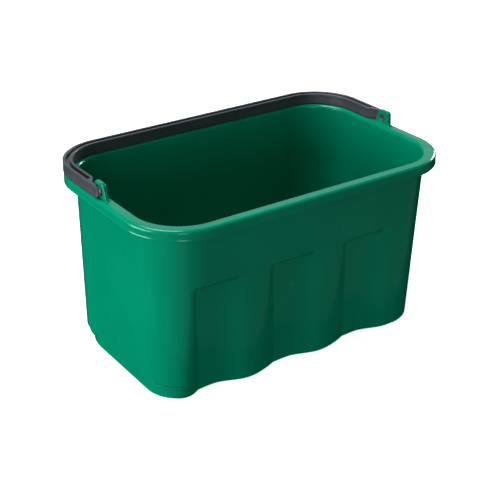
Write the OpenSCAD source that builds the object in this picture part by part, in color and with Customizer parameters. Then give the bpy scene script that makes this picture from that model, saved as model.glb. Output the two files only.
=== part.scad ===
// Florist bucket: a moulded tub with fluted front and a folding channel handle.
// Millimetres, +Z up. The origin is the middle of the rim's plan on the ground.
// +X runs along the long side and +Y points to the side where the handle rests.

/* [Tub] */
// Length over the rim
tub_l = 400; // [340:5:420]
// Depth over the rim, front to back
tub_d = 248; // [230:2:260]
// Height of the rim's top above the ground
tub_h = 206; // [190:2:230]
// Plan radius of the rim's outer corners
rim_r = 67; // [60:1:72]
// Thickness of the moulded wall
wall_t = 2.5; // [2:0.1:3]
// How far the tops of the walls stand in from the rim's outer face
wall_in = 13.2; // [12.6:0.1:14]

/* [Draft] */
// Extra inset of the left wall at the ground
draft_left = 3.2; // [2:0.2:6]
// Extra inset of the right wall at the ground
draft_right = 9.2; // [3:0.2:10]
// Extra inset of the front wall at the ground
draft_front = 5.2; // [3:0.2:8]
// Extra inset of the rear wall at the ground
draft_rear = 4.2; // [3:0.2:8]

/* [Rim] */
// Height of the downturned skirt
skirt_h = 12; // [10:0.5:16]
// Radius of the rim's outer top edge
rim_edge_r = 3.6; // [2.5:0.1:4]
// Radius of the rim's inner lip
lip_r = 4; // [3:0.1:4.5]

/* [Flutes] */
// Depth of a flute at the ground
flute_deep = 10; // [6:0.5:11]
// Depth of a flute at its top ledge
flute_shallow = 6; // [4:0.5:7]
// Height of the flutes' top ledge
flute_top = 134; // [110:2:150]
// Distance from one flute to the next
flute_pitch = 99.5; // [95:0.5:102]
// Middle of the centre flute's floor
flute_mid = -24; // [-26:1:-20]

/* [Foot] */
// Height of the foot step
foot_h = 14; // [10:1:18]
// Inset of the foot under the front wall at its left end, and half that under the left wall
foot_in = 1.2; // [0.8:0.1:2]
// Inset of the foot under the rear wall at its left end
foot_back_in = 5; // [2:0.5:6]
// Plan radius of the foot's back left corner
foot_back_r = 62; // [50:1:70]
// Plan radius of the foot's front left corner
foot_front_r = 41; // [36:1:46]

/* [Ears] */
// Thickness of an ear
ear_t = 4.2; // [3.8:0.1:4.4]
// Reach of an ear on its upright edge's side of the pivot
ear_front = 11.6; // [10:0.2:12]
// Reach of an ear's foot on its leaning edge's side of the pivot
ear_back = 11.5; // [10:0.5:13]
// Height of an ear above the rim
ear_h = 17.3; // [16:0.1:18]
// Height of the pivot above the rim
pivot_up = 7.8; // [7.6:0.1:8]
// Diameter of the pivot stud
stud_d = 8.2; // [7:0.1:8.4]
// Radial clearance of the stud in its ear
stud_gap = 0.1; // [0.05:0.01:0.1]

/* [Handle] */
// Width of the handle's H-shaped section
bail_w = 11.2; // [10:0.2:12]
// Height of the handle's section
bail_h = 12.5; // [11.5:0.5:13]
// Thickness of the section's two walls
bail_wall = 3.2; // [2.6:0.1:3.6]
// Depth of the channel in the handle's top as it lies on the rim
bail_dip = 4.5; // [3:0.5:5]
// Thickness of the web between the upper and the lower channel
bail_web = 3; // [2.5:0.1:4]
// Inset of the handle's sides from the rim's outer face
bail_in = 0.7; // [0.5:0.1:1.4]
// Inset of the handle's back from the rim's outer face
bail_back_in = 3.7; // [3:0.1:4]
// Plan radius of the handle's outer corners
bail_r = 60; // [57:1:62]
// Gap between the resting handle and the rim
bail_gap = 0.9; // [0.6:0.1:1.2]
// Distance behind the pivot where the channel gives way to the flat arm
arm_l = 27; // [25:1:32]
// Thickness of the flat arm
arm_t = 3.6; // [3.2:0.1:3.8]

/* [Hidden] */

green = [0.0, 0.42, 0.31];
black = [0.12, 0.12, 0.13];

// Segments in a quarter round of the plan, and along the front wall
corner_n = 8;
front_n = 48;
// Thin overlap that joins one solid to the next
eps = 0.05;

half_l = tub_l / 2;
half_d = tub_d / 2;
wall_top = tub_h - wall_t;
under_skirt = tub_h - skirt_h;
wall_r = rim_r - wall_in;
// The walls' corners tighten a little towards the ground
ground_r = wall_r - 6;
lip_in = wall_in + wall_t;
pivot_z = tub_h + pivot_up;
ear_in = 10;
ear_x = half_l - ear_in;

// ---------- plan outlines ----------

function clamp01(t) = min(1, max(0, t));
// Smooth step from 0 at a to 1 at b
function smooth(a, b, x) = let (t = clamp01((x - a) / (b - a))) t * t * (3 - 2 * t);

// Places across a flute, measured from its middle. The left flank starts and creases at these
// places at the ground; by the ledge (up = 1) each has moved by its shift.
flank_start = -50;
flank_shift = 13;
crease = -14;
crease_shift = -8;
// Share of the flute's depth reached at the crease, and the run that reaches the rest
crease_share = 0.94;
crease_run = 14;
// The right flank rises between these two places
right_start = 4.5;
right_end = 45.5;
// The left flute's flank starts this much later, clear of the rounded corner
first_late = 11;

// One flute's cross-section, 1 on its floor: a convex left flank that meets the floor in a crease,
// and a long easy right flank
function flute_shape(u, up, late) =
    let (start = flank_start + flank_shift * up + late,
         fold = crease + crease_shift * up,
         t = clamp01((u - start) / (fold - start)),
         left = crease_share * pow(t, 1.6 + 0.4 * up)
                + (1 - crease_share) * smooth(fold, fold + crease_run, u))
    left * (1 - smooth(right_start, right_end, u));
flute_mids = [for (i = [-1:1]) flute_mid + i * flute_pitch];
function flutes_at(x, up) =
    max([for (i = [0:2]) flute_shape(x - flute_mids[i], up, i == 0 ? first_late : 0)]);

// Height of the sloped ledge that closes each flute at its top
ledge_drop = 6;
// Flute depth falls from the ground to the ledge and stops above it
function flute_depth(z) =
    z > flute_top - eps ? 0
    : flute_deep + (flute_shallow - flute_deep) * clamp01(z / (flute_top - ledge_drop));

function arc_points(cx, cy, r, a0) =
    [for (i = [0:corner_n]) let (a = a0 + 90 * i / corner_n) [cx + r * cos(a), cy + r * sin(a)]];

// Rounded outline between four sides, its front corner to corner run cut into front_n pieces.
// Both right corners have radius r; the left ones have their own.
function outline(x0, x1, y0, y1, r, back_left_r, front_left_r) =
    let (start = x0 + front_left_r, run = x1 - r - start)
    concat(
        arc_points(x1 - r, y1 - r, r, 0),
        arc_points(x0 + back_left_r, y1 - back_left_r, back_left_r, 90),
        arc_points(x0 + front_left_r, y0 + front_left_r, front_left_r, 180),
        [for (i = [1:front_n - 1]) [start + run * i / front_n, y0]],
        arc_points(x1 - r, y0 + r, r, 270)
    );

// Rounded outline set in evenly from the rim's outer face
function rim_outline(inset) =
    let (r = rim_r - inset)
    outline(-half_l + inset, half_l - inset, -half_d + inset, half_d - inset, r, r, r);

// Wall outline at height z, pushed in by extra, with the flutes pressed into its front
function wall_outline(z, extra) =
    let (down = 1 - z / wall_top,
         side = wall_in + extra,
         r = wall_r - extra - (wall_r - ground_r) * down,
         plan = outline(-half_l + side + draft_left * down, half_l - side - draft_right * down,
                        -half_d + side + draft_front * down, half_d - side - draft_rear * down,
                        r, r, r),
         deep = flute_depth(z))
    [for (p = plan) p[1] < 0 ? [p[0], p[1] + deep * flutes_at(p[0], clamp01(z / flute_top))] : p];

// Run along the wall over which the foot's step fades out, ending in the first bulge
fade_run = 35;

// The foot: the walls' footprint, set in at the left end
function foot_outline(z) =
    let (down = 1 - z / wall_top,
         r = wall_r - (wall_r - ground_r) * down,
         plan = outline(-half_l + wall_in + draft_left * down + foot_in / 2,
                        half_l - wall_in - draft_right * down,
                        -half_d + wall_in + draft_front * down, half_d - wall_in - draft_rear * down,
                        r, foot_back_r, foot_front_r),
         fade_x = flute_mids[0] + flute_pitch / 2)
    [for (p = plan)
        let (here = 1 - smooth(fade_x - fade_run, fade_x, p[0]))
        p[1] < 0
            ? [p[0], p[1] + foot_in * here + flute_depth(z) * flutes_at(p[0], z / flute_top)]
            : [p[0], p[1] - foot_back_in * here]];

function at_height(plan, z) = [for (p = plan) [p[0], p[1], z]];

// ---------- skins, ring by ring ----------

// Quads between ring k and ring k + 1 of rings that all have n points, cut into triangles
function skin(k, next, n) =
    [for (i = [0:n - 1], half = [0, 1])
        let (j = (i + 1) % n,
             a = k * n + i,
             b = k * n + j,
             c = next * n + j,
             d = next * n + i)
        half == 0 ? [a, c, b] : [a, d, c]];

edge_steps = 3;
floor_r = 6;
// Height whose wall outline the floor's fillet follows
floor_ring_z = 20;
outer_levels = [foot_h + 0.5, 60, 100, flute_top - ledge_drop, flute_top, 165, under_skirt];
inner_levels = [under_skirt, 165, flute_top + wall_t, flute_top - ledge_drop + wall_t, 100, 60, 30];

// The tub below the rim: up the outside, over the wall's top edge, down the inside to the floor
tub_rings = concat(
    [at_height(foot_outline(0), 0), at_height(foot_outline(foot_h), foot_h)],
    [for (z = outer_levels) at_height(wall_outline(z, 0), z)],
    [for (z = inner_levels) at_height(wall_outline(z, wall_t), z)],
    [for (i = [0:2])
        let (a = 45 * i)
        at_height(wall_outline(floor_ring_z, wall_t + floor_r * (1 - cos(a))),
                  wall_t + floor_r * (1 - sin(a)))]
);

module tub() {
    n = len(tub_rings[0]);
    last = len(tub_rings) - 1;
    bottom = [for (i = [0:n - 1]) i];
    floor_face = [for (i = [n - 1:-1:0]) last * n + i];
    color(green)
        polyhedron(
            points = [for (r = tub_rings) each r],
            faces = concat([bottom], [for (k = [0:last - 1]) each skin(k, k + 1, n)], [floor_face])
        );
}

// The rim: a closed loop of rings up the wall's outside, out under the flange, round the skirt,
// over the edge, across the flat and down over the lip
rim_rings = concat(
    [at_height(wall_outline(under_skirt, 0), under_skirt)],
    [at_height(wall_outline(wall_top, 0), wall_top)],
    [at_height(rim_outline(wall_t), wall_top)],
    [at_height(rim_outline(wall_t), under_skirt)],
    [at_height(rim_outline(0), under_skirt)],
    [for (i = [0:edge_steps])
        let (a = 90 * i / edge_steps)
        at_height(rim_outline(rim_edge_r * (1 - cos(a))), tub_h - rim_edge_r * (1 - sin(a)))],
    [for (i = [0:edge_steps])
        let (a = 90 * i / edge_steps)
        at_height(rim_outline(lip_in - lip_r * (1 - sin(a))), tub_h - lip_r * (1 - cos(a)))],
    [at_height(wall_outline(under_skirt, wall_t), under_skirt)]
);

module rim() {
    n = len(rim_rings[0]);
    count = len(rim_rings);
    color(green)
        polyhedron(
            points = [for (r = rim_rings) each r],
            faces = [for (k = [0:count - 1]) each skin(k, (k + 1) % count, n)]
        );
}

// ---------- the ears: two plates standing on the rim's flat, bored for the handle's studs ----------

// Outline of the right ear in the YZ plane: upright in front, leaning back behind
module ear_outline() {
    front_r = 3.6;
    back_r = 5;
    head_back = 7.4;
    z_top = tub_h + ear_h;
    polygon(concat(
        [[-ear_front, tub_h], [ear_back, tub_h]],
        [for (a = [14:19:90]) [head_back - back_r + back_r * cos(a), z_top - back_r + back_r * sin(a)]],
        [for (a = [90:18:180])
            [front_r - ear_front + 0.6 + front_r * cos(a), z_top - front_r + front_r * sin(a)]]
    ));
}

// Stands a YZ outline up as a plate from x to x + t
module plate_x(x, t) {
    translate([x, 0, 0])
        rotate([90, 0, 90])
            linear_extrude(height = t)
                children();
}

// The left ear is the right one turned by half a turn
module ear(side) {
    color(green)
        rotate([0, 0, side > 0 ? 0 : 180])
            difference() {
                plate_x(ear_x, ear_t) ear_outline();
                translate([ear_x + ear_t / 2, 0, pivot_z])
                    rotate([0, 90, 0])
                        cylinder(h = ear_t * 2, d = stud_d + 2 * stud_gap, center = true, $fn = 48);
            }
}

// ---------- the handle: a channel swept round the back of the rim, ending in two flat arms ----------

bail_z = tub_h + bail_gap;
bail_cx = half_l - bail_in - bail_r;
bail_cy = half_d - bail_back_in - bail_r;
arm_x = half_l - bail_in - arm_t;
// Length of the splay from the channel to the arm
splay_run = 11.5;
// The top channel runs this far into the splay, which stays solid below for as much again
splay_mix = 3;
// The boss round the stud keeps the arm off the ear
boss_r = 5.6;
boss_x = ear_x + ear_t + 0.3;
// The arm's end stands this far in front of the pivot, its corners rounded
nose_l = 2.6;
nose_r = 4;
// The stud's end stands this far back inside the ear
stud_short = 0.4;

// H-shaped section with its outer face at 0, a channel above the web and one below
module bail_section() {
    floor_z = bail_h - bail_dip;
    roof_z = floor_z - bail_web;
    polygon([
        [-bail_w, 0], [-bail_w + bail_wall, 0], [-bail_w + bail_wall, roof_z],
        [-bail_wall, roof_z], [-bail_wall, 0], [0, 0], [0, bail_h], [-bail_wall, bail_h],
        [-bail_wall, floor_z], [-bail_w + bail_wall, floor_z],
        [-bail_w + bail_wall, bail_h], [-bail_w, bail_h]
    ]);
}

// A quarter turn of the channel round a back corner
module bail_corner(side) {
    translate([side * bail_cx, bail_cy, bail_z])
        rotate([0, 0, side > 0 ? 0 : 90])
            rotate_extrude(angle = 90, $fn = 96)
                translate([bail_r, 0])
                    bail_section();
}

// Straight channel along the back
module bail_back() {
    translate([-bail_cx - eps, half_d - bail_back_in, bail_z])
        rotate([90, 0, 90])
            linear_extrude(height = 2 * bail_cx + 2 * eps)
                bail_section();
}

// Straight channel along a short side, from the arm to the corner
module bail_side(side) {
    run = bail_cy - arm_l;
    translate([side * (half_l - bail_in), arm_l, bail_z])
        mirror([side < 0 ? 1 : 0, 0, 0])
            rotate([-90, 180, 0])
                mirror([1, 0, 0])
                    linear_extrude(height = run + eps)
                        bail_section();
}

// Solid end of the channel, splayed down to the flat arm, in plan
module splay_plan() {
    outer = half_l - bail_in;
    inner = outer - bail_w;
    polygon([
        [outer, arm_l - splay_run], [outer, arm_l + splay_mix], [inner, arm_l + splay_mix],
        [inner, arm_l], [arm_x, arm_l - splay_run]
    ]);
}

// Side view of the flat arm, its end rounded so that it clears the rim as it swings
module arm_outline() {
    translate([-nose_l + nose_r, bail_z + nose_r])
        offset(r = nose_r, $fn = 48)
            square([arm_l - splay_run + nose_l - nose_r, bail_h - 2 * nose_r]);
    translate([arm_l - splay_run - nose_r, bail_z])
        square([nose_r + eps, bail_h]);
}

// A disc about the pivot from x on, t thick
module pivot_disc(x, t, r, facets) {
    translate([x, 0, pivot_z])
        rotate([0, 90, 0])
            cylinder(h = t, r = r, $fn = facets);
}

module arm(side) {
    mirror([side < 0 ? 1 : 0, 0, 0]) {
        difference() {
            translate([0, 0, bail_z])
                linear_extrude(height = bail_h)
                    splay_plan();
            translate([half_l - bail_in - bail_w + bail_wall, arm_l - splay_mix, bail_z + bail_h - bail_dip])
                cube([bail_w - 2 * bail_wall, 3 * splay_mix, bail_dip + 1]);
        }
        plate_x(arm_x, arm_t) arm_outline();
        pivot_disc(boss_x, arm_x - boss_x + arm_t / 2, boss_r, 64);
        pivot_disc(ear_x + stud_short, ear_t + 1, stud_d / 2, 48);
    }
}

module handle() {
    color(black)
        union() {
            bail_back();
            for (side = [-1, 1]) {
                bail_corner(side);
                bail_side(side);
                arm(side);
            }
        }
}

tub();
rim();
ear(-1);  // ear_left
ear(1);  // ear_right
handle();
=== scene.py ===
# %% [markdown]
# # A florist's bucket with a folding handle
# The real object is two pieces of injection moulded plastic: a green tub with a turned-down rim,
# a fluted front wall and two small ears, and a black channel handle whose two moulded studs snap
# into the ears. This lesson rebuilds both as clean meshes on top of a measured frame, gives each
# a plastic made of nodes, and lights them as a catalogue studio would.

# %% Load the measured frame
import bpy
import math
import numpy as np
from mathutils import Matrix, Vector


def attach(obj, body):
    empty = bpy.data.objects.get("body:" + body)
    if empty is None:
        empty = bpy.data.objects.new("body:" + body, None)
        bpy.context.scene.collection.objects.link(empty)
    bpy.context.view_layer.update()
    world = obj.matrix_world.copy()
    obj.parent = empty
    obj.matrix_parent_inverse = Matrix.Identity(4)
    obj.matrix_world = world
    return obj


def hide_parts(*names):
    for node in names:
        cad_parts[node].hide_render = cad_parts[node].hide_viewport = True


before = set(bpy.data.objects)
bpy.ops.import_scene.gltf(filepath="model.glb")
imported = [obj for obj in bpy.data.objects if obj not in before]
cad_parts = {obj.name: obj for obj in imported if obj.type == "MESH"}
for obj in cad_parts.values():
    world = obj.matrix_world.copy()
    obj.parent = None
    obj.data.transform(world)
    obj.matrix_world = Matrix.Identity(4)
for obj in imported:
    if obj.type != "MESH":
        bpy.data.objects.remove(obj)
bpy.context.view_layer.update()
MM = 0.001

# %% [markdown]
# ## Measures of the tub
# The tub is drawn in millimetres, as its maker would draw it, and scaled once at the end. Its
# origin is the middle of the rim's plan on the ground, X runs along the long side and Y towards
# the side where the handle lies. Every wall leans in a little towards the ground, which is the
# draft that lets a moulding leave its tool. The right wall leans most.

# %% Measures
HALF_L, HALF_D, TOP = 200.0, 124.0, 206.0
RIM_R, WALL_T, WALL_IN = 67.0, 2.5, 13.2
DRAFT = {"left": 3.2, "right": 9.2, "front": 5.2, "rear": 4.2}
WALL_TOP = TOP - WALL_T
WALL_R = RIM_R - WALL_IN
GROUND_R = WALL_R - 6
SKIRT_H, EDGE_R, LIP_R = 12.0, 3.6, 4.0
LIP_IN = WALL_IN + WALL_T
PIVOT_Z = TOP + 7.8
print(f"rim {2 * HALF_L:.0f} x {2 * HALF_D:.0f} mm, {TOP:.0f} mm high")

# %% [markdown]
# ## One outline for every level
# A tub like this is a loft: a rounded rectangle at each height, joined to the next. If every
# outline has the same number of points in the same order, the skin between two of them is a band
# of four-sided faces, with no gap to mend. The front run gets many more points than the rest,
# because the flutes are pressed into it.

# %% Outline helpers
CORNER_N, REAR_N, SIDE_N, FRONT_N = 24, 22, 10, 216


def smooth(a, b, x):
    """0 before a, 1 after b, with an easy S curve between."""
    t = np.clip((np.asarray(x, float) - a) / (b - a), 0, 1)
    return t * t * (3 - 2 * t)


def arc(cx, cy, r, start):
    a = np.radians(start + 90 * np.arange(CORNER_N) / CORNER_N)
    return np.stack([cx + r * np.cos(a), cy + r * np.sin(a)], 1)


def run(p, q, n):
    t = np.arange(n)[:, None] / n
    return np.array(p) * (1 - t) + np.array(q) * t


def outline(x0, x1, y0, y1, r, back_left=None, front_left=None):
    """Rounded rectangle, anticlockwise from the rear end of the right side."""
    bl = r if back_left is None else back_left
    fl = r if front_left is None else front_left
    return np.concatenate([
        arc(x1 - r, y1 - r, r, 0), run((x1 - r, y1), (x0 + bl, y1), REAR_N),
        arc(x0 + bl, y1 - bl, bl, 90), run((x0, y1 - bl), (x0, y0 + fl), SIDE_N),
        arc(x0 + fl, y0 + fl, fl, 180), run((x0 + fl, y0), (x1 - r, y0), FRONT_N),
        arc(x1 - r, y0 + r, r, 270), run((x1, y0 + r), (x1, y1 - r), SIDE_N)])


def rim(inset):
    r = RIM_R - inset
    return outline(-HALF_L + inset, HALF_L - inset, -HALF_D + inset, HALF_D - inset, r)


print("points in an outline:", len(rim(0)))

# %% [markdown]
# ## The flutes
# Three shallow troughs are pressed into the front wall to stiffen it. Each has a convex left flank
# that meets the floor in a crease, then a long easy right flank that makes the rounded bulge. They
# are deepest at the ground, where they show as waves in the footprint, and end in a flat sloped
# ledge. The depth is a function of place, so the same function can push the outside and the inside
# of the wall. A crease only looks sharp if a column of points runs along it, so the points beside
# each crease are slid sideways until one column lies on it.

# %% Flute functions
FLUTE_TOP, FLUTE_DEEP, FLUTE_SHALLOW, LEDGE = 134.0, 10.0, 6.0, 6.0
FLUTES = ((-123.5, 11.0), (-24.0, 0.0), (75.5, 0.0))
SLIDE = 26.0
# Places along X beside a flute's middle, and how far each moves from the ground to the ledge
FLANK_START, FLANK_SHIFT = -50, 13
CREASE, CREASE_SHIFT = -14, -8
EASE_START, EASE_END = 4.5, 45.5
# Shares of the depth gained on the left flank and just after the crease, and the length of the latter
FLANK_SHARE, FLOOR_SHARE, FLOOR_RUN = 0.94, 0.06, 14


def crease(up):
    """Place of a flute's crease beside its middle; up is 0 at the ground and 1 at the ledge."""
    return CREASE + CREASE_SHIFT * up


def flute_section(x, z):
    """1 on a flute's floor, 0 on the wall between flutes."""
    up = min(z / FLUTE_TOP, 1)
    best = np.zeros_like(x)
    for middle, late in FLUTES:
        u, start = x - middle, FLANK_START + FLANK_SHIFT * up + late
        t = np.clip((u - start) / (crease(up) - start), 0, 1)
        left = FLANK_SHARE * t ** (1.6 + 0.4 * up)
        left += FLOOR_SHARE * smooth(crease(up), crease(up) + FLOOR_RUN, u)
        best = np.maximum(best, left * (1 - smooth(EASE_START, EASE_END, u)))
    return best


def flute_depth(x, z):
    fall = FLUTE_DEEP + (FLUTE_SHALLOW - FLUTE_DEEP) * min(z / (FLUTE_TOP - LEDGE), 1)
    ledge = min(max((FLUTE_TOP - z) / LEDGE, 0), 1)
    return fall * ledge * flute_section(x, z)


# The front zone: the last half of the left front corner and the whole front run
RUN_START = 3 * CORNER_N + REAR_N + SIDE_N
ZONE = slice(RUN_START - CORNER_N // 2, RUN_START + FRONT_N)
middle_plan = outline(-HALF_L + WALL_IN, HALF_L - WALL_IN, -HALF_D + WALL_IN, HALF_D - WALL_IN, WALL_R)
COLUMNS = [int(np.argmin(np.abs(middle_plan[ZONE, 0] - m - crease(0.5)))) for m, _ in FLUTES]


def press_flutes(p, z):
    """Slides a column of points onto each crease, then presses the flutes into the front half."""
    corner_x, front_y = p[RUN_START]
    r = corner_x - p[:, 0].min()
    x = p[ZONE, 0].copy()
    for column, (middle, _) in zip(COLUMNS, FLUTES):
        shift = middle + crease(min(z / FLUTE_TOP, 1)) - x[column]
        x += shift * (1 - smooth(0, SLIDE, np.abs(x - x[column])))
    away = np.clip(corner_x - x, 0, r)
    p[ZONE] = np.column_stack([x, front_y + r - np.sqrt(r * r - away * away)])
    front = p[:, 1] < 0
    p[front, 1] += flute_depth(p[front, 0], z)


def wall(z, extra=0.0):
    """Outline of the wall at height z, set in by extra."""
    down = 1 - z / WALL_TOP
    side = WALL_IN + extra
    r = WALL_R - extra - (WALL_R - GROUND_R) * down
    p = outline(-HALF_L + side + DRAFT["left"] * down, HALF_L - side - DRAFT["right"] * down,
                -HALF_D + side + DRAFT["front"] * down, HALF_D - side - DRAFT["rear"] * down, r)
    press_flutes(p, z)
    return p


front_draft = wall(5.0)[:, 1].min() - wall(200.0)[:, 1].min()
print("front wall moves in by", round(float(front_draft), 1), "mm along its bulges")

# %% [markdown]
# ## The foot
# At the left end the lowest 14 mm stand in a little under the side and the front and more at the
# back, with a much rounder corner there, and the step fades out along the front in the first
# bulge. Where the step's depth is 0 the foot simply carries the wall down.

# %% Foot outline
FOOT_H, FOOT_IN, FOOT_BACK_IN = 14.0, 1.2, 5.0
FOOT_BACK_R, FOOT_FRONT_R = 62.0, 41.0
# The step is whole up to the first of these places along X and gone at the second
FADE_START, FADE_END = -108.75, -73.75


def foot(z, inset=0.0):
    """Outline of the foot at height z; inset rounds its bottom edge."""
    down = 1 - z / WALL_TOP
    r = WALL_R - (WALL_R - GROUND_R) * down - inset
    p = outline(-HALF_L + WALL_IN + DRAFT["left"] * down + FOOT_IN / 2 + inset,
                HALF_L - WALL_IN - DRAFT["right"] * down - inset,
                -HALF_D + WALL_IN + DRAFT["front"] * down + inset,
                HALF_D - WALL_IN - DRAFT["rear"] * down - inset,
                r, FOOT_BACK_R - inset, FOOT_FRONT_R - inset)
    press_flutes(p, z)
    here = 1 - smooth(FADE_START, FADE_END, p[:, 0])
    p[:, 1] += np.where(p[:, 1] < 0, FOOT_IN, -FOOT_BACK_IN) * here
    return p


def at(plan, z):
    return np.column_stack([plan, np.full(len(plan), z)])


def shrink(plan, k):
    middle = (plan.max(0) + plan.min(0)) / 2
    return middle + (plan - middle) * k


# %% [markdown]
# ## The skin, ring by ring
# The rings run from the middle of the underside, out and up the wall, round the rim and down the
# inside to the middle of the floor. Every edge that a moulding tool would round gets a few close
# rings on a true arc, because a rounded edge is what catches the light and makes plastic read as
# plastic. Extra rings beside each arc keep the flat faces flat when they are shaded smooth.

# %% Rings of the tub
BASE_R, FLOOR_R = 0.8, 6.0
# How far the bead at the skirt's bottom stands out past its face
BEAD = 0.35
rings = [at(shrink(foot(0, BASE_R), k), 0) for k in (0.02, 0.35, 0.7, 0.93, 0.99)]
for a in np.radians(np.linspace(0, 90, 5)):
    rings.append(at(foot(BASE_R * (1 - math.sin(a)) if a else 0, BASE_R * (1 - math.sin(a))),
                    BASE_R * (1 - math.cos(a))))
for z in (1.2, 3.5, 7, 10.5, 13.2, 13.8):
    rings.append(at(foot(z), z))
rings.append(at(foot(FOOT_H), FOOT_H))
for inset, z in ((0.3, FOOT_H + 0.02), (0.12, FOOT_H + 0.08), (0.03, FOOT_H + 0.25), (0.0, FOOT_H + 0.6)):
    rings.append(at(wall(FOOT_H + 0.5, inset), z))
ledge_low = FLUTE_TOP - LEDGE
for z in np.concatenate([[15.6, 17.5, 22], np.linspace(30, 122, 14), [125.5, 127.2],
                         ledge_low + np.array([-0.25, 0, 0.25, 0.8, 2, 3.5, 5.2, 5.75, 6, 6.25, 7]),
                         [138, 144, 152], np.linspace(162, 196, 5)]):
    rings.append(at(wall(z), z))
for a in np.radians(np.linspace(0, 90, 5)):
    rings.append(at(wall(WALL_TOP - 2) * math.cos(a) + (wall(WALL_TOP, -2.0)) * (1 - math.cos(a)),
                    WALL_TOP - 2 + 2 * math.sin(a)))
for inset, z in ((WALL_T + 1.4, WALL_TOP), (WALL_T + 0.6, WALL_TOP - 0.1), (WALL_T, WALL_TOP - 0.7),
                 (WALL_T, WALL_TOP - 2), (WALL_T, TOP - SKIRT_H + 1.6)):
    rings.append(at(rim(inset), z))
bead_z = TOP - SKIRT_H + 0.9
for a in np.radians(np.linspace(180, 360, 9)):
    half = WALL_T / 2
    rings.append(at(rim(half - half * math.cos(a)), bead_z + 0.9 * math.sin(a)))
for inset, z in ((0.02, bead_z + 0.5), (0.12, bead_z + 0.95), (BEAD - 0.06, bead_z + 1.3),
                 (BEAD, bead_z + 1.8), (BEAD, 199), (BEAD, TOP - EDGE_R - 0.6)):
    rings.append(at(rim(inset), z))
for a in np.radians(np.linspace(0, 90, 9)):
    r = EDGE_R
    rings.append(at(rim(BEAD + r * (1 - math.cos(a))), TOP - r * (1 - math.sin(a))))
for inset in (BEAD + EDGE_R + 0.7, 7.8, LIP_IN - LIP_R - 0.7):
    rings.append(at(rim(inset), TOP))
for a in np.radians(np.linspace(0, 90, 9)):
    rings.append(at(rim(LIP_IN - LIP_R * (1 - math.sin(a))), TOP - LIP_R * (1 - math.cos(a))))
for z in np.concatenate([[200.5, 198, 190, 178, 164, 150, 141],
                         WALL_T + np.linspace(FLUTE_TOP, ledge_low, 5), [126],
                         np.linspace(118, 22, 11)]):
    rings.append(at(wall(z, WALL_T), z))
for a in np.radians(np.linspace(0, 90, 8)):
    z = WALL_T + FLOOR_R * (1 - math.sin(a))
    rings.append(at(wall(14.0, WALL_T + FLOOR_R * (1 - math.cos(a))), z))
floor_edge = rings[-1][:, :2]
rings += [at(shrink(floor_edge, k), WALL_T) for k in (0.985, 0.7, 0.35, 0.02)]
print("rings:", len(rings))


# %% [markdown]
# ## From rings to a mesh
# One small helper joins any stack of rings into rows of four-sided faces. The tub, the ears, the
# handle and its studs all use it. The tub, the handle and the studs are closed with a face at each
# end of the stack, and an ear closes on itself round its bore.

# %% Loft helper
def make_mesh(name, points, faces):
    mesh = bpy.data.meshes.new(name)
    mesh.from_pydata([tuple(p) for p in np.asarray(points) * MM], [], faces)
    mesh.validate()
    mesh.shade_smooth()
    obj = bpy.data.objects.new(name, mesh)
    bpy.context.collection.objects.link(obj)
    return obj


def loft_faces(rows, n, first=0, loop=False):
    faces = []
    for k in range(rows if loop else rows - 1):
        a, b = first + k * n, first + ((k + 1) % rows) * n
        faces += [(a + i, a + (i + 1) % n, b + (i + 1) % n, b + i) for i in range(n)]
    return faces


def loft(name, rings):
    n, rows = len(rings[0]), len(rings)
    faces = loft_faces(rows, n)
    faces.append(tuple(range(n - 1, -1, -1)))
    faces.append(tuple((rows - 1) * n + i for i in range(n)))
    return make_mesh(name, np.concatenate(rings), faces)


tub = loft("tub_moulding", rings)
print("tub faces:", len(tub.data.polygons))

# %% [markdown]
# ## The ears
# Each ear is a 4 mm plate standing on the rim, upright at one edge and leaning at the other, with a
# bore for the handle's stud. The left ear is the right one turned by half a turn, as the mould has
# it. The outline and the bore are both rings round the pivot, so the plate is one more loft: out
# from the bore, over the rounded arris, back along the other face and through the bore. A concave
# flare at the foot runs it into the rim, as the moulding tool would.

# %% Ear outline
EAR_X, EAR_T, EAR_TOP, BORE_R = 190.0, 4.2, TOP + 17.3, 4.2
EAR_N = 120


def polyline_resample(p, n):
    p = np.vstack([p, p[:1]])
    s = np.concatenate([[0], np.cumsum(np.hypot(*np.diff(p, axis=0).T))])
    t = np.arange(n) / n * s[-1]
    return np.column_stack([np.interp(t, s, p[:, 0]), np.interp(t, s, p[:, 1])])


def ear_profile():
    """Closed outline in the YZ plane, anticlockwise seen from +X."""
    rear = [(13.6, TOP - 2.5), (13.4, TOP + 0.1), (12.4, TOP + 0.7), (11.6, TOP + 1.8),
            (11.1, TOP + 3.2)]
    front = [(-11.7, TOP + 3.2), (-12.1, TOP + 1.8), (-12.8, TOP + 0.7), (-13.7, TOP + 0.1),
             (-13.9, TOP - 2.5)]
    crown = [(2.4 + 5 * math.cos(a), EAR_TOP - 5 + 5 * math.sin(a))
             for a in np.radians(np.linspace(14, 90, 12))]
    brow = [(-7.5 + 3.6 * math.cos(a), EAR_TOP - 3.6 + 3.6 * math.sin(a))
            for a in np.radians(np.linspace(90, 176, 9))]
    return np.array(rear + crown + brow + front)


def offset(p, d):
    """Moves a closed outline inwards by d."""
    t = np.roll(p, -1, 0) - np.roll(p, 1, 0)
    t /= np.linalg.norm(t, axis=1)[:, None]
    return p + d * np.column_stack([-t[:, 1], t[:, 0]])


profile = polyline_resample(ear_profile(), EAR_N)
centre = np.array([0.0, PIVOT_Z])
angle = np.arctan2(*(profile - centre).T[::-1])
spoke = np.column_stack([np.cos(angle), np.sin(angle)])
print("ear", round(float(np.ptp(profile[:, 0])), 1), "mm wide at its foot,", EAR_TOP - TOP, "mm high")


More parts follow.
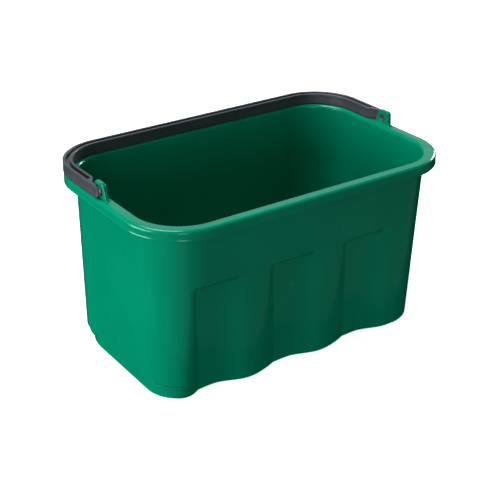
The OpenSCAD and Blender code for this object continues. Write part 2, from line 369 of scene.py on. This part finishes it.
# %% Ear mesh
def ear(side):
    arris = 0.7
    face, inner, outer = [], EAR_X, EAR_X + EAR_T

    def ring(yz, x):
        flare = 1.3 * np.clip(1 - (yz[:, 1] - TOP) / 1.3, 0, 1) ** 2
        lean = np.where(x < EAR_X + EAR_T / 2, -flare, 0)
        return np.column_stack([side * (x + lean), side * yz[:, 0], yz[:, 1]])

    inset = offset(profile, arris)
    deep = offset(profile, arris + 0.6)
    chamfer = 0.5
    bore = centre + (BORE_R + chamfer) * spoke
    fractions = (0.15, 0.35, 0.55, 0.75, 0.9)
    face.append(ring(centre + BORE_R * spoke, inner + chamfer))
    face += [ring(bore * (1 - k) + deep * k, inner) for k in (0.0,) + fractions + (1.0,)]
    for a in np.radians(np.linspace(0, 90, 5)):
        face.append(ring(profile + (inset - profile) * (1 - math.sin(a)), inner + arris * (1 - math.cos(a))))
    for a in np.radians(np.linspace(90, 0, 5)):
        face.append(ring(profile + (inset - profile) * (1 - math.sin(a)), outer - arris * (1 - math.cos(a))))
    face += [ring(bore * (1 - k) + deep * k, outer) for k in (1.0,) + fractions[::-1] + (0.0,)]
    face.append(ring(centre + BORE_R * spoke, outer - chamfer))
    quads = [q[::-1] for q in loft_faces(len(face), EAR_N, loop=True)]
    return make_mesh("ear_right" if side > 0 else "ear_left", np.concatenate(face), quads)


ears = [ear(-1), ear(1)]
for piece in [tub] + ears:
    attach(piece, "tub")
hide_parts("tub")
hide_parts("rim")
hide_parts("ear_left")
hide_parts("ear_right")
print("ears:", [len(e.data.polygons) for e in ears], "faces each")

# %% [markdown]
# ## The handle's section
# The handle is a channel, open upwards as it lies on the rim, because a channel is stiff for
# little plastic and cools evenly. The measured frame has a second channel underneath, which this
# mesh leaves out. The section is described once, as a
# loop of points with every arris rounded, and the width, the depth of the groove and the height
# may change from one station to the next. That lets the channel become the flat arm.

# %% Handle section
BAIL_W, BAIL_H, BAIL_T, BAIL_Z = 11.2, 12.5, 3.4, TOP + 0.9
BAIL_IN, BAIL_BACK_IN, BAIL_R = 0.7, 3.7, 60.0
GROOVE, ARM_T, NOSE_T = 4.5, 4.3, 2.6
ARC_N = 4


def rounded(corners, guard=0.5):
    """Loop through corners (u, v, radius), each rounded, with a guard point beside each arc."""
    pts = np.array([c[:2] for c in corners], float)
    out = []
    for i, (u, v, r) in enumerate(corners):
        back = pts[i - 1] - pts[i]
        on = pts[(i + 1) % len(pts)] - pts[i]
        lb, lo = np.linalg.norm(back), np.linalg.norm(on)
        back, on = back / max(lb, 1e-9), on / max(lo, 1e-9)
        r = min(r, 0.42 * lb, 0.42 * lo)
        p = pts[i]
        g = [min(r + guard, 0.46 * l) for l in (lb, lo)]
        out.append(p + back * g[0])
        c = p + (back + on) * r
        for a in np.radians(np.linspace(0, 90, ARC_N + 1)):
            out.append(c - on * r * math.cos(a) - back * r * math.sin(a))
        out.append(p + on * g[1])
    return np.array(out)


def section(width, groove, low, high):
    """u is measured in from the outer face, v up from the ground; groove is the channel's depth."""
    wall_t = min(BAIL_T, 0.34 * width)
    inner, tall = width - wall_t, high - low
    top_r = min(0.6, groove * 0.3)
    band = 0.3 if tall > 8 else 0.0
    return rounded([
        (0, low, 0.6), (0, low + 0.30 * tall, 0.1), (band, low + 0.33 * tall, 0.1),
        (band, low + 0.71 * tall, 0.1), (0, low + 0.74 * tall, 0.1),
        (0, high, 0.7), (wall_t, high, top_r), (wall_t, high - groove, 0.5),
        (inner, high - groove, 0.5), (inner, high, top_r), (width, high, 0.7),
        (width, low + 0.74 * tall, 0.1), (width - band, low + 0.71 * tall, 0.1), (width, low, 0.6)])


print("points in the section:", len(section(BAIL_W, 10, BAIL_Z, BAIL_Z + BAIL_H)))

# %% [markdown]
# ## The handle's path
# The path runs just inside the rim's outer line, from the left arm's nose round the back to the
# right arm's nose. Each station has a place, an outward direction and a section. The nose is
# rounded, so that it clears the rim while the handle swings.

# %% Handle stations
NOSE_L, NOSE_R = 2.6, 4.0
GROOVE_END, JOG_IN, JOG_OUT = 24.0, 27.0, 15.5


def arm_station(y):
    """Width, groove depth, lowest and highest point of the handle at y along a short side."""
    width = ARM_T + (BAIL_W - ARM_T) * float(np.clip((y - JOG_OUT) / (JOG_IN - JOG_OUT), 0, 1))
    width -= (ARM_T - NOSE_T) * (1 - float(smooth(2.0, 7.5, y)))
    groove = GROOVE * float(smooth(GROOVE_END, GROOVE_END + 0.8, y)) + 0.02
    low, high = BAIL_Z, BAIL_Z + BAIL_H
    into_nose = NOSE_R - NOSE_L - y
    if into_nose > 0:
        gone = NOSE_R - math.sqrt(max(NOSE_R ** 2 - into_nose ** 2, 0))
        low, high = low + gone, high - gone
    return width, groove, low, high


stations = []
nose = [NOSE_R - NOSE_L - NOSE_R * math.sin(a) for a in np.radians(np.linspace(88, 6, 14))]
straight = nose + [1.8, 2.2, 3, 4, 5, 6, 7, 7.6, 9, 11, 13, 14.8] + \
    [15.3, 15.6, 16.0, 18, 20, 22, 23.5] + list(np.linspace(24, 25, 6)) + \
    [26, 26.7, 27.0, 27.4, 29, 33, 40, 48, 56]
for y in straight:
    stations.append(((-HALF_L + BAIL_IN, y), (-1, 0), arm_station(y)))
full = arm_station(60)
turn_x, turn_y = HALF_L - BAIL_IN - BAIL_R, HALF_D - BAIL_BACK_IN - BAIL_R
for a in np.radians(np.linspace(180, 90, 37)):
    d = (math.cos(a), math.sin(a))
    stations.append(((-turn_x + BAIL_R * d[0], turn_y + BAIL_R * d[1]), d, full))
for x in np.linspace(-turn_x, 0, 9)[1:]:
    stations.append(((x, HALF_D - BAIL_BACK_IN), (0, 1), full))
mirrored = [((-p[0], p[1]), (-d[0], d[1]), s) for p, d, s in stations[-2::-1]]
stations += mirrored
print("stations:", len(stations))

# %% Handle mesh
NOSE_PLAN_R = 2.2
loops = []
for (x, y), (dx, dy), (width, groove, low, high) in stations:
    uv = section(width, groove, low, high)
    into_nose = NOSE_PLAN_R - NOSE_L - y
    if into_nose > 0:
        gone = NOSE_PLAN_R - math.sqrt(max(NOSE_PLAN_R ** 2 - into_nose ** 2, 0))
        uv[:, 0] = width - (width - uv[:, 0]) * (1 - gone / width)
    loops.append(np.column_stack([x - dx * uv[:, 0], y - dy * uv[:, 0], uv[:, 1]]))
handle = loft("handle_moulding", loops)
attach(handle, "handle")
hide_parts("handle")
print("handle faces:", len(handle.data.polygons))

# %% [markdown]
# ## The studs
# A stud is moulded on the inside of each arm and snaps through the ear's bore. A round boss behind
# it keeps the arm off the ear, with a narrow slot between the boss and the arm's outer plate. The
# stud's end shows in the tub as a dark disc with a shallow dished face and a rounded edge.

# %% Studs
STUD_R, BOSS_R, STUD_N = 4.1, 5.0, 64


def stud(side):
    arm_face = HALF_L - BAIL_IN
    plate, boss_in, boss_out = arm_face - NOSE_T + 0.6, EAR_X + EAR_T + 0.3, arm_face - 3.3
    turn = 2 * math.pi * np.arange(STUD_N) / STUD_N
    yz = np.column_stack([np.cos(turn), np.sin(turn)])
    steps = [(STUD_R, plate), (STUD_R, boss_out + 0.05), (BOSS_R - 0.1, boss_out), (BOSS_R, boss_out - 0.1),
             (BOSS_R, boss_in + 0.1), (BOSS_R - 0.1, boss_in), (STUD_R + 0.05, boss_in),
             (STUD_R, boss_in - 0.1), (STUD_R, EAR_X + 1.6), (STUD_R, EAR_X + 0.9)]
    steps += [(STUD_R - 0.5 * (1 - math.cos(a)), EAR_X + 0.9 - 0.5 * math.sin(a))
              for a in np.radians((22, 45, 68, 90))]
    steps += [(3.3, EAR_X + 0.4), (3.1, EAR_X + 0.5), (2.6, EAR_X + 1.3), (2.3, EAR_X + 1.4),
              (0.1, EAR_X + 1.4)]
    rows = [np.column_stack([np.full(STUD_N, side * x), centre + r * yz]) for r, x in steps]
    n, faces = STUD_N, loft_faces(len(rows), STUD_N)
    faces += [tuple(range(n - 1, -1, -1)), tuple((len(rows) - 1) * n + i for i in range(n))]
    if side > 0:
        faces = [f[::-1] for f in faces]
    return make_mesh("stud_right" if side > 0 else "stud_left", np.concatenate(rows), faces)


studs = [stud(-1), stud(1)]
for piece in studs:
    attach(piece, "handle")
    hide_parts("handle")
print("studs:", [s.name for s in studs])

# %% [markdown]
# ## Flat faces that stay flat
# Smooth shading blends the directions of neighbouring faces, which would make the wide flat faces
# look pillowed beside their narrow rounded edges. Weighting each normal by face area fixes that
# without adding a single face.

# %% Weighted normals
for piece in [tub, handle] + ears + studs:
    weighted = piece.modifiers.new("area_weighted_normals", "WEIGHTED_NORMAL")
    weighted.mode = "FACE_AREA"
    weighted.weight = 60
    weighted.keep_sharp = True
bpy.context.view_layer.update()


# %% [markdown]
# ## Node helpers
# A material is a small graph. These helpers add a node and join it in one line, so that each
# recipe below reads from top to bottom.

# %% Node helpers
class Recipe:
    def __init__(self, name):
        self.material = bpy.data.materials.new(name)
        self.material.use_nodes = True
        self.tree = self.material.node_tree
        self.shader = self.tree.nodes["Principled BSDF"]
        self.place = self.add("ShaderNodeTexCoord").outputs["Object"]

    def add(self, kind, inputs=None, **settings):
        node = self.tree.nodes.new(kind)
        for key, value in settings.items():
            setattr(node, key, value)
        for key, value in (inputs or {}).items():
            self.feed(node.inputs[key], value)
        return node

    def feed(self, socket, value):
        if isinstance(value, bpy.types.NodeSocket):
            self.tree.links.new(value, socket)
        else:
            socket.default_value = value

    def noise(self, scale, detail=3.0, place=None):
        return self.add("ShaderNodeTexNoise", {
            "Vector": place or self.place, "Scale": scale, "Detail": detail}).outputs["Fac"]

    def stretched(self, scale, turn=(0, 0, 0)):
        return self.add("ShaderNodeMapping", {
            "Vector": self.place, "Scale": scale, "Rotation": turn}).outputs["Vector"]

    def span(self, value, low, high, to_low=0.0, to_high=1.0):
        return self.add("ShaderNodeMapRange", {
            "Value": value, "From Min": low, "From Max": high,
            "To Min": to_low, "To Max": to_high}).outputs["Result"]

    def maths(self, how, a, b):
        return self.add("ShaderNodeMath", {0: a, 1: b}, operation=how).outputs["Value"]

    def mix(self, weight, a, b):
        node = self.add("ShaderNodeMix", data_type="RGBA")
        for socket, value in zip([s for s in node.inputs if s.type == "RGBA"], (a, b)):
            self.feed(socket, value)
        self.feed(node.inputs["Factor"], weight)
        return [s for s in node.outputs if s.type == "RGBA"][0]

    def bump(self, height, strength, distance, onto=None):
        node = self.add("ShaderNodeBump", {"Height": height, "Strength": strength, "Distance": distance})
        if onto is not None:
            self.feed(node.inputs["Normal"], onto)
        return node.outputs["Normal"]


# %% [markdown]
# ## Green moulded plastic
# The tub is polypropylene coloured all the way through. It has a smooth gloss from the polished
# tool, faint cloudy variation in the pigment, a soft orange-peel that only shows in reflections,
# a few specks of dust and some fine scratches from handling. The clouds and scratches change
# the gloss more than the colour, as they do on the real thing.

# %% Green plastic
green = Recipe("green_plastic")
clouds = green.noise(9.0, 3.0)
streaks = green.noise(1.0, 4.0, place=green.stretched((60, 60, 7)))
tone = green.mix(green.span(clouds, 0.35, 0.65), (0.0, 0.152, 0.081, 1), (0.0, 0.168, 0.091, 1))
tone = green.mix(green.span(streaks, 0.55, 0.8, 0.0, 0.25), tone, (0.0, 0.19, 0.106, 1))
scratch_a = green.noise(1.0, 2.0, place=green.stretched((900, 900, 22), (0.5, 0.3, 0.2)))
scratch_b = green.noise(1.0, 2.0, place=green.stretched((26, 800, 800), (0.2, 0.5, 0.9)))
scratches = green.maths("MAXIMUM", green.span(scratch_a, 0.74, 0.8), green.span(scratch_b, 0.745, 0.8))
dust_cells = green.add("ShaderNodeTexVoronoi", {"Vector": green.place, "Scale": 110.0}, feature="F1")
dust = green.maths("LESS_THAN", dust_cells.outputs["Distance"], 0.035)
dust_pick = green.add("ShaderNodeSeparateColor", {"Color": dust_cells.outputs["Color"]}).outputs[0]
dust = green.maths("MULTIPLY", dust, green.maths("GREATER_THAN", dust_pick, 0.8))
tone = green.mix(green.maths("MULTIPLY", scratches, 0.3), tone, (0.10, 0.36, 0.26, 1))
tone = green.mix(green.maths("MULTIPLY", dust, 0.55), tone, (0.20, 0.42, 0.33, 1))
green.feed(green.shader.inputs["Base Color"], tone)
dull = green.maths("ADD", green.span(clouds, 0.3, 0.7, 0.15, 0.21), green.maths("MULTIPLY", scratches, 0.25))
green.feed(green.shader.inputs["Roughness"], dull)
peel = green.bump(green.noise(420.0, 2.0), 0.06, 0.0004)
waves = green.bump(green.noise(28.0, 2.0), 0.10, 0.0006, peel)
green.feed(green.shader.inputs["Normal"], green.bump(scratches, 0.15, 0.0002, waves))
green.shader.inputs["IOR"].default_value = 1.49
green.shader.inputs["Specular IOR Level"].default_value = 0.25
green.shader.inputs["Specular Tint"].default_value = (0.5, 1.0, 0.9, 1)
for piece in [tub] + ears:
    piece.data.materials.append(green.material)
print("green plastic nodes:", len(green.tree.nodes))

# %% [markdown]
# ## Black moulded plastic
# The handle is charcoal rather than pure black, with the satin grain that hides fingerprints. Its
# grain is a fine bump, its gloss wanders a little, and hands have polished it in soft patches.

# %% Black plastic
black = Recipe("black_plastic")
patches = black.noise(24.0, 3.0)
grain = black.noise(1500.0, 2.0)
tone = black.mix(black.span(patches, 0.35, 0.65), (0.026, 0.028, 0.036, 1), (0.034, 0.036, 0.045, 1))
rub = black.noise(1.0, 3.0, place=black.stretched((500, 60, 500), (0.1, 0.2, 0.4)))
tone = black.mix(black.span(rub, 0.68, 0.8, 0.0, 0.25), tone, (0.08, 0.082, 0.092, 1))
black.feed(black.shader.inputs["Base Color"], tone)
black.feed(black.shader.inputs["Roughness"], black.span(patches, 0.3, 0.7, 0.34, 0.46))
soft = black.bump(black.noise(60.0, 2.0), 0.08, 0.0005)
black.feed(black.shader.inputs["Normal"], black.bump(grain, 0.12, 0.0001, soft))
black.shader.inputs["IOR"].default_value = 1.5
black.shader.inputs["Specular IOR Level"].default_value = 0.5
for piece in [handle] + studs:
    piece.data.materials.append(black.material)
print("black plastic nodes:", len(black.tree.nodes))

# %% [markdown]
# ## Floor and surroundings
# A catalogue picture stands the object on white paper. The paper is a wide plane with a barely
# uneven tone. It is kept out of the plastic's bounced light and reflections, because a real studio
# flags it off to keep a dark glossy colour rich. The world gives the soft light from all round
# instead, and is kept out of reflections too, so that only the lights and cards show in the gloss.

# %% Floor and world
bpy.context.scene.view_settings.view_transform = "Standard"
bpy.ops.mesh.primitive_plane_add(size=80)
floor = bpy.context.object
floor.name = "paper_floor"
paper = Recipe("white_paper")
paper_tone = paper.mix(paper.noise(3.0), (0.86, 0.86, 0.86, 1), (0.90, 0.90, 0.90, 1))
paper.feed(paper.shader.inputs["Base Color"], paper_tone)
paper.shader.inputs["Roughness"].default_value = 0.9
paper.shader.inputs["Specular IOR Level"].default_value = 0.1
paper.shader.inputs["Emission Color"].default_value = (1.0, 1.0, 1.0, 1)
paper.shader.inputs["Emission Strength"].default_value = 0.8
floor.data.materials.append(paper.material)
floor.visible_diffuse = False
floor.visible_glossy = False

world = bpy.data.worlds.new("studio")
bpy.context.scene.world = world
world.use_nodes = True
world.node_tree.nodes["Background"].inputs["Color"].default_value = (1.0, 1.0, 1.0, 1)
world.node_tree.nodes["Background"].inputs["Strength"].default_value = 0.26
world.cycles_visibility.glossy = False
print("floor and world ready")

# %% [markdown]
# ## Studio lights
# A big softbox overhead lights the rim and draws a bright line along its edge, a wide panel at the
# left lights the end wall, and a weak one in front rakes across the flutes. Area lights are used
# for these, because a broad source is what makes soft shadows and wide highlights. Three cards stand
# for white boards that show as reflections: two are weak area lights kept out of diffuse light, and
# one is a faintly glowing plane. One draws the pale flat of the rim, one the glints on the far lip
# and the right end of the rim, and one lies on the table in front of the flutes, where a flank that
# turns away from the camera mirrors it as a thin line.

# %% Lights
def panel(name, place, target, size, power):
    light = bpy.data.lights.new(name, "AREA")
    light.shape = "RECTANGLE"
    light.size, light.size_y = size
    light.energy = power
    obj = bpy.data.objects.new(name, light)
    obj.location = place
    obj.rotation_euler = (Vector(target) - Vector(place)).to_track_quat("-Z", "Y").to_euler()
    bpy.context.collection.objects.link(obj)
    return obj


panel("softbox_top", (-0.3, 0.35, 1.6), (0, 0, 0.15), (0.9, 0.7), 35)
panel("panel_left", (-1.7, 0.3, 0.18), (0, 0, 0.12), (1.2, 0.8), 57)
panel("panel_front", (-0.9, -1.5, 0.3), (0.05, 0, 0.1), (0.4, 0.6), 7.5)
card_back = panel("card_back", (1.05, 1.5, 0.95), (0, 0, 0.2), (1.4, 0.7), 3.0)
card_back.data.color = (0.72, 1.0, 1.0)
card_right = panel("card_right", (1.5, 0.4, 0.65), (0, 0, 0.2), (0.45, 0.45), 25)
for card in (card_back, card_right):
    card.visible_diffuse = False

bpy.ops.mesh.primitive_plane_add(size=1, location=(0.4, -0.95, 0.002))
table_card = bpy.context.object
table_card.name = "card_table"
table_card.scale = (3.0, 1.6, 1)
glow = Recipe("white_card")
glow.shader.inputs["Base Color"].default_value = (0.0, 0.0, 0.0, 1)
glow.shader.inputs["Emission Color"].default_value = (1.0, 1.0, 1.0, 1)
glow.shader.inputs["Emission Strength"].default_value = 0.11
table_card.data.materials.append(glow.material)
table_card.visible_camera = table_card.visible_diffuse = table_card.visible_shadow = False

# %% [markdown]
# ## Camera
# A catalogue camera stands about 1.4 metres away with a short telephoto lens, a little above
# the rim. Its place is given by a turn, a height angle and a distance from a point that it looks
# at, and a small sideways shift frames the bucket.

# %% Camera
turn, rise, reach = math.radians(-34.16), math.radians(27.02), 1.39323
aim = Vector((0.00711, 0.0729, 0.05723))
camera_data = bpy.data.cameras.new("camera")
camera_data.lens, camera_data.sensor_width = 81.53, 36.0
camera_data.shift_x = 0.056
camera = bpy.data.objects.new("camera", camera_data)
out = Vector((math.sin(turn) * math.cos(rise), -math.cos(turn) * math.cos(rise), math.sin(rise)))
camera.location = aim + out * reach
camera.rotation_euler = (-out).to_track_quat("-Z", "Y").to_euler()
bpy.context.collection.objects.link(camera)
bpy.context.scene.camera = camera
print("camera at", [round(v, 4) for v in camera.location])
